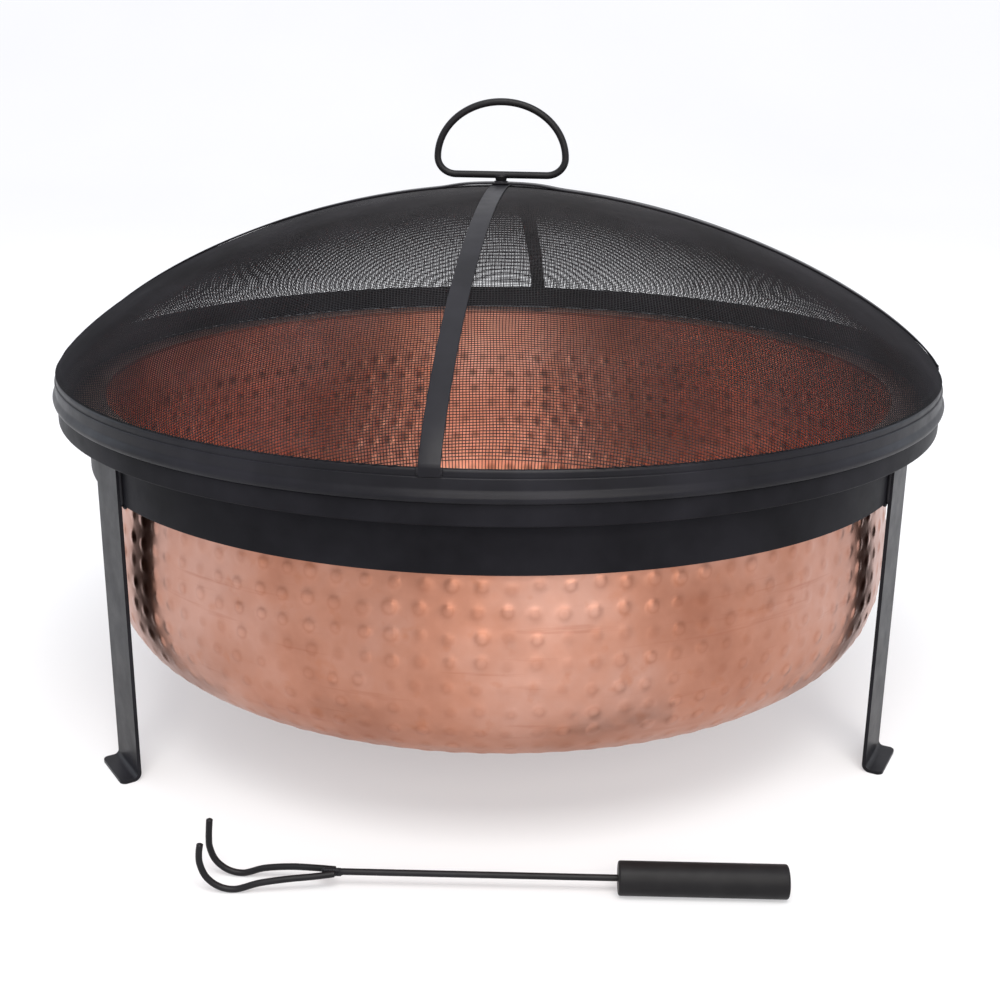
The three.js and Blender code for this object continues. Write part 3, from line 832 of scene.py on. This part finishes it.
wires = int(DOME[0][-1] / WIRE_PITCH) + 1
for name, first, last, across, stands_for in (
    ("mesh_warp_left", -wires, 0, True, ["mesh_dome"]),
    ("mesh_warp_right", 0, wires, True, []),
    ("mesh_weft_front", -wires, 0, False, []),
    ("mesh_weft_rear", 0, wires, False, []),
):
    woven(first, last, across).piece(name, "screen", BLACK_WIRE, stands_for, "mesh", sharp=180)


def strap(name, degrees, rise, seed):
    """A flat strap over the mesh, with its ends turned down and welded to the band."""
    reach = DOME[0][-1]
    s = np.linspace(-reach + 3, reach - 3, 181)
    r, z = on_dome(s, -(STRAP_CLEAR + STRAP_PLATE / 2))
    z = z + rise * np.exp(-((r / CROSSING_REACH) ** 6))
    r = r * np.sign(s + 1e-9)
    end = SCREEN_RADIUS + STRAP_CLEAR + STRAP_PLATE / 2
    down = np.linspace(SCREEN_LOW + 2, STRAP_LOW, 5)
    r = np.concatenate([np.full(5, -end), r, np.full(5, end)])
    z = np.concatenate([down[::-1], z, down])
    path = np.stack([r, np.zeros_like(r), z], -1)
    along = unit(np.gradient(path, axis=0))
    side = np.array([0.0, 1.0, 0.0])
    up = np.cross(along, side)
    half, thick = STRAP_WIDTH / 2, STRAP_PLATE / 2
    section = rounded(box(-half, -thick, half, thick), 0.5, 3)
    rows = path[:, None] + section[None, :, :1] * side + section[None, :, 1:] * up[:, None]
    shape = Shape().grid(rows, caps=True).move(turn(degrees))
    shape.piece(name + "_bar", "screen", BLACK_SATIN, [name], "black_steel", sharp=50)
    welds = Shape()
    heights = np.linspace(STRAP_LOW + 0.6, STRAP_LOW + 6.4, 8)
    widths = np.linspace(-half - 1.2, half + 1.2, 16)
    for k, side in enumerate((-1, 1)):
        x = side * (end - 0.2)
        for j, edge in enumerate((-1, 1)):
            bead(welds, [(x, edge * (half + 0.3), z) for z in heights], 1.2, seed + 4 * k + j)
        bead(welds, [(x - side * 0.4, y, STRAP_LOW + 0.5) for y in widths], 1.15, seed + 4 * k + 2)
    welds.move(turn(degrees)).piece(name + "_welds", "screen", WELD, slot="black_steel")


strap("strap_front_back", STRAP_TURN + 90, 0.0, 500)
strap("strap_side_side", STRAP_TURN, CROSSING_RISE, 520)


def handle_path():
    """A closed D: half an ellipse on top, two quarter bends and a straight bar."""
    top = [math.radians(a) for a in np.linspace(0, 180, 97)]
    points = [(HANDLE_HALF * math.cos(a), 0.0, HANDLE_SPRING + HANDLE_ARCH * math.sin(a)) for a in top]
    drop = HANDLE_SPRING - HANDLE_BAR
    turns = [math.radians(a) for a in np.linspace(0, 90, 15)][1:]
    inner = HANDLE_HALF - HANDLE_CORNER
    left = []
    for a in turns:
        left.append((-inner - HANDLE_CORNER * math.cos(a), 0.0, HANDLE_SPRING - drop * math.sin(a)))
    bar = [(x, 0.0, HANDLE_BAR) for x in np.linspace(-inner, inner, 31)[1:-1]]
    right = [(-x, y, z) for x, y, z in reversed(left)]
    return np.array(points + left + bar + right)


def handle():
    """The loop, its stud with washer and nut under the mesh, and their welds."""
    Shape().tube(handle_path(), HANDLE_WIRE, 20, closed=True).move(turn(STRAP_TURN)).piece(
        "handle_ring", "screen", BLACK_ROD, ["handle_loop"], "black_steel"
    )
    threads = int((STUD_SEAT - STUD_LOW) / STUD_THREAD)
    outline = [(0.05, STUD_LOW)]
    outline += [(2.5 - 0.28 * (k % 2), STUD_LOW + STUD_THREAD * k) for k in range(threads)]
    outline += [(2.5, STUD_SEAT), (4.0, STUD_SEAT), (4.4, STUD_SEAT + 0.6)]
    outline += [(5.6, 469.0), (5.2, 470.6), (0.05, 470.9)]
    stud = Shape().lathe(outline, 48)
    stud.piece("stud", "screen", BLACK_ROD, ["handle_stud"], "black_steel", sharp=30)
    washer = rounded(box(3.1, WASHER_LOW, 7.94, WASHER_TOP), 0.3)
    Shape().lathe(washer, 64).piece("washer", "screen", ZINC, ["stud_washer"], "zinc")
    hexagon = []
    ease = 0.4
    for z, grow in ((NUT_LOW, 0.93), (NUT_LOW + ease, 1.0), (NUT_TOP - ease, 1.0), (NUT_TOP, 0.93)):
        row = []
        for k in range(48):
            a = k * math.tau / 48
            flat = NUT_HALF / math.cos((a % (math.pi / 3)) - math.pi / 6)
            r = min(flat, NUT_CORNER) * grow
            row.append((r * math.cos(a), r * math.sin(a), z))
        hexagon.append(row)
    nut = Shape().grid(hexagon, caps=True).move(turn(STRAP_TURN))
    nut.piece("nut", "screen", ZINC, ["stud_nut"], "zinc", sharp=25)
    welds = Shape()
    bead(welds, circle(5.2, STUD_SEAT - 0.3, 40), 0.9, 610)
    for k, side in enumerate((-1, 1)):
        path = [(x, side * 2.9, HANDLE_BAR - 0.6) for x in np.linspace(-5.4, 5.4, 14)]
        bead(welds, path, 1.5, 620 + k)
    welds.move(turn(STRAP_TURN)).piece("handle_welds", "screen", WELD, slot="black_steel")


handle()


# ---------------------------------------------------------------- lifting fork

def smooth_curve(points, steps=12):
    """A centripetal Catmull-Rom curve through the points."""
    p = np.asarray(points, float)
    p = np.vstack([2 * p[0] - p[1], p, 2 * p[-1] - p[-2]])
    out = []
    for i in range(1, len(p) - 2):
        a, b, c, d = p[i - 1:i + 3]
        t = np.concatenate([[0], np.cumsum([np.linalg.norm(v) ** 0.5 for v in (b - a, c - b, d - c)])])

        def between(k, m, low, high):
            return (t[m] - s) / (t[m] - t[k]) * low + (s - t[k]) / (t[m] - t[k]) * high

        for s in np.linspace(t[1], t[2], steps, endpoint=False):
            ab, bc, cd = between(0, 1, a, b), between(1, 2, b, c), between(2, 3, c, d)
            out.append(between(1, 2, between(0, 2, ab, bc), between(1, 3, bc, cd)))
    out.append(p[-2])
    return np.array(out)


def tool():
    """The loose fork on the ground: grip, rod, two prongs and the weld where they meet."""
    place = turn(TOOL_TURN, y=TOOL_FRONT)
    outline = rounded(
        [
            (0.05, GRIP_START),
            (GRIP_RADIUS - 1, GRIP_START),
            (GRIP_RADIUS, GRIP_START + 1),
            (GRIP_RADIUS, GRIP_END - 1),
            (GRIP_RADIUS - 1, GRIP_END),
            (0.05, GRIP_END),
        ],
        0.7,
    )
    grip = Shape().lathe(outline, 72)
    grip.move(Matrix.Translation((0, 0, TOOL_AXIS)) @ Matrix.Rotation(math.pi / 2, 4, "Y"))
    grip.move(place).piece("grip", "tool", GRIP, ["tool_grip"], "grip", sharp=60)
    path = [(x, 0.0, TOOL_AXIS) for x in np.linspace(ROD_START, ROD_END, 60)]
    rod = Shape().tube(path, TOOL_WIRE, 16).move(place)
    rod.piece("rod", "tool", BLACK_ROD, ["tool_rod"], "black_steel")
    stations = [
        (-111.3, 2.7, 12.0),
        (-126.0, 5.5, 11.2),
        (-145.0, 8.0, 10.2),
        (-165.0, 9.6, 7.4),
        (-181.0, 10.5, 2.5),
        (-192.0, 10.8, 5.2),
        (-200.0, 11.0, 12.6),
        (-203.8, 11.2, 23.0),
        (-204.0, 11.3, 31.0),
        (-202.8, 11.4, 46.0),
    ]
    for name, side, tip, back in (
        ("tool_prong_far", 1, 46.0, 0.0),
        ("tool_prong_near", -1, 39.0, NEAR_PRONG_BACK),
    ):
        points = [(x - (back if k > 3 else 0.0), side * y, z) for k, (x, y, z) in enumerate(stations)]
        points[-1] = (*points[-1][:2], tip)
        path = smooth_curve(points)
        path[:, 2] = np.maximum(path[:, 2], TOOL_WIRE + 0.15)
        prong = Shape().tube(path, TOOL_WIRE, 16).move(place)
        prong.piece(name + "_wire", "tool", BLACK_ROD, [name], "black_steel")
    welds = Shape()
    for k, height in enumerate((1.2, -1.2)):
        path = [(x, 0.0, TOOL_AXIS - 0.4 + height) for x in np.linspace(-122, -106, 20)]
        bead(welds, path, 2.0, 700 + k)
    welds.move(place).piece("fork_weld", "tool", WELD, slot="black_steel")


tool()


# ---------------------------------------------------------------- studio

def studio_floor():
    """A pale sweep that glows, less so under the pit and on the patch that the bowl's front mirrors:
    painted shadow round the pit, painted shade on the patch.
    """
    p = Paint("studio_white")
    low, high = (0.40, 0.40, 0.403), (0.42, 0.42, 0.423)
    p.set(Base_Color=p.ramp(p.noise(1.2, 2.0), (0.3, low), (0.7, high)))
    p.set(Roughness=0.85, Specular_IOR_Level=0.0, Emission_Color=(0.97, 0.972, 1.0, 1))
    from_pit = p.node("ShaderNodeVectorMath", operation="LENGTH")
    p.put(from_pit.inputs[0], p.place)
    from_patch = p.node("ShaderNodeVectorMath", operation="DISTANCE")
    p.put(from_patch.inputs[0], p.place)
    from_patch.inputs[1].default_value = SHADE_PLACE
    # painted shadow and shade: the glow falls from the open floor towards the pit, and drops on the
    # mirrored patch
    glow = p.node("ShaderNodeMath", operation="MULTIPLY")
    p.put(glow.inputs[0], p.spread(from_pit.outputs["Value"], 0.42, 0.62, 0.35, 1.3))
    p.put(glow.inputs[1], p.spread(from_patch.outputs["Value"], 0.15, 1.0, 0.5, 1.5))
    p.set(Emission_Strength=glow.outputs["Value"])
    line = [(-30.0, 0.0), (SWEEP_START, 0.0)]
    for a in np.radians(np.arange(6, 91, 6)):
        rise = SWEEP_RADIUS - SWEEP_RADIUS * math.cos(a)
        line.append((SWEEP_START + SWEEP_RADIUS * math.sin(a), rise))
    line.append((SWEEP_START + SWEEP_RADIUS, SWEEP_TOP))
    corners = [(x, y, z) for y, z in line for x in (-40.0, 40.0)]
    mesh = bpy.data.meshes.new("floor")
    faces = [(2 * i, 2 * i + 1, 2 * i + 3, 2 * i + 2) for i in range(len(line) - 1)]
    mesh.from_pydata(corners, [], faces)
    mesh.polygons.foreach_set("use_smooth", [True] * len(faces))
    mesh.materials.append(p.material)
    floor = bpy.data.objects.new("floor", mesh)
    bpy.context.scene.collection.objects.link(floor)


def softbox(name, place, aim, width, height, power, colour):
    """A rectangular light in metres and watts, turned to a point and unseen by the camera."""
    light = bpy.data.lights.new(name, "AREA")
    light.shape = "RECTANGLE"
    light.size, light.size_y = width, height
    light.energy = power
    light.color = colour
    thing = bpy.data.objects.new(name, light)
    thing.location = place
    direction = Vector(aim) - Vector(place)
    thing.rotation_euler = direction.to_track_quat("-Z", "Y").to_euler()
    thing.visible_camera = False
    bpy.context.scene.collection.objects.link(thing)


def studio_world():
    """A soft grey-blue surround, a little darker on the camera's side."""
    world = bpy.data.worlds.new("studio")
    world.use_nodes = True
    tree = world.node_tree
    back = tree.nodes["Background"]
    coord = tree.nodes.new("ShaderNodeTexCoord")
    split = tree.nodes.new("ShaderNodeSeparateXYZ")
    ramp = tree.nodes.new("ShaderNodeValToRGB")
    tree.links.new(coord.outputs["Generated"], split.inputs[0])
    share = tree.nodes.new("ShaderNodeMapRange")
    share.inputs["From Min"].default_value = -1.0
    tree.links.new(split.outputs["Y"], share.inputs["Value"])
    tree.links.new(share.outputs["Result"], ramp.inputs["Fac"])
    ramp.color_ramp.elements[0].position = 0.15
    ramp.color_ramp.elements[0].color = (0.74, 0.75, 0.78, 1)
    ramp.color_ramp.elements[1].position = 0.75
    ramp.color_ramp.elements[1].color = (0.84, 0.87, 0.95, 1)
    tree.links.new(ramp.outputs["Color"], back.inputs["Color"])
    bpy.context.scene.world = world


def studio_camera():
    data = bpy.data.cameras.new("camera")
    data.lens = 50.0
    data.sensor_width = 36.0
    data.clip_start = 0.05
    data.clip_end = 100.0
    camera = bpy.data.objects.new("camera", data)
    camera.matrix_world = (
        Matrix.Translation(CAMERA_PLACE)
        @ Matrix.Rotation(math.radians(90 - CAMERA_DOWN), 4, "X")
        @ Matrix.Rotation(math.radians(CAMERA_ROLL), 4, "Z")
    )
    bpy.context.scene.collection.objects.link(camera)
    bpy.context.scene.camera = camera


studio_floor()
studio_world()
studio_camera()
softbox("top", (0.0, 0.1, 2.4), (0, 0, 0.2), 2.0, 1.6, 12, (1, 1, 1))
softbox("left", (-2.2, 0.6, 1.0), (0, 0, 0.25), 0.7, 1.6, 5, COOL)
softbox("right", (2.2, 0.6, 1.0), (0, 0, 0.25), 0.7, 1.6, 5, COOL)
softbox("key", (0.35, -1.9, 1.0), (0, 0, 0.2), 1.9, 0.7, 22, WARM)
softbox("high", (0.1, -1.5, 2.4), (0, 0.2, 0.2), 1.6, 1.2, 66, WHITE)

bpy.context.scene.view_settings.view_transform = "Standard"
